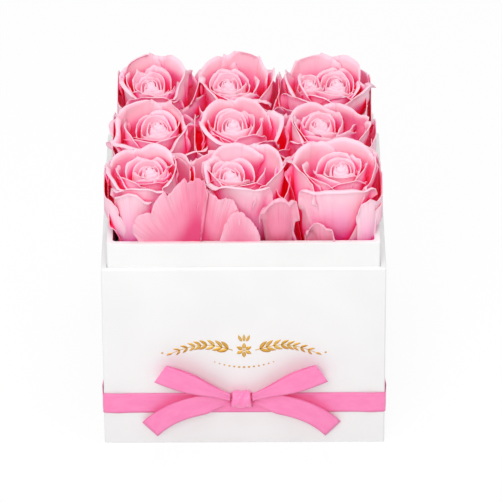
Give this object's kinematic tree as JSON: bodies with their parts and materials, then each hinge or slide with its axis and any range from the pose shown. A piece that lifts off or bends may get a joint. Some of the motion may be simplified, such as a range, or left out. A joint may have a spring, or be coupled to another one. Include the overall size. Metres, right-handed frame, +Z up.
{
  "type": "flower box",
  "caption": "Square rigid-card flower box with a raised neck, packed with preserved pink roses on foam and tied round with a satin ribbon bow.",
  "frame": {"origin": "middle of the underside of the outer box", "axes": "+Z up, -Y towards the front face with the bow, +X to the right as seen from the front"},
  "size_m": [0.151, 0.1608, 0.1571],
  "materials": {
    "wrapped_board": "matte",
    "foam": "matte",
    "stem": "matte",
    "petal": "matte",
    "satin": "satin"
  },
  "bodies": {
    "root": {"bow_knot": "satin", "bow_loop_left": "satin", "bow_loop_right": "satin", "bow_tail_left": "satin", "bow_tail_right": "satin", "foam_block": "foam", "guard_petal_corner": "petal", "guard_petal_curl": "petal", "guard_petal_fan": "petal", "guard_petal_round": "petal", "guard_petal_side": "petal", "neck_sleeve": "wrapped_board", "outer_box": "wrapped_board", "ribbon_band": "satin", "rose_back_centre_heart": "petal", "rose_back_centre_middle_petals": "petal", "rose_back_centre_outer_petals": "petal", "rose_back_centre_stem": "stem", "rose_back_left_heart": "petal", "rose_back_left_middle_petals": "petal", "rose_back_left_outer_petals": "petal", "rose_back_left_stem": "stem", "rose_back_right_heart": "petal", "rose_back_right_middle_petals": "petal", "rose_back_right_outer_petals": "petal", "rose_back_right_stem": "stem", "rose_front_centre_heart": "petal", "rose_front_centre_middle_petals": "petal", "rose_front_centre_outer_petals": "petal", "rose_front_centre_stem": "stem", "rose_front_left_heart": "petal", "rose_front_left_middle_petals": "petal", "rose_front_left_outer_petals": "petal", "rose_front_left_stem": "stem", "rose_front_right_heart": "petal", "rose_front_right_middle_petals": "petal", "rose_front_right_outer_petals": "petal", "rose_front_right_stem": "stem", "rose_middle_centre_heart": "petal", "rose_middle_centre_middle_petals": "petal", "rose_middle_centre_outer_petals": "petal", "rose_middle_centre_stem": "stem", "rose_middle_left_heart": "petal", "rose_middle_left_middle_petals": "petal", "rose_middle_left_outer_petals": "petal", "rose_middle_left_stem": "stem", "rose_middle_right_heart": "petal", "rose_middle_right_middle_petals": "petal", "rose_middle_right_outer_petals": "petal", "rose_middle_right_stem": "stem"}
  },
  "joints": []
}
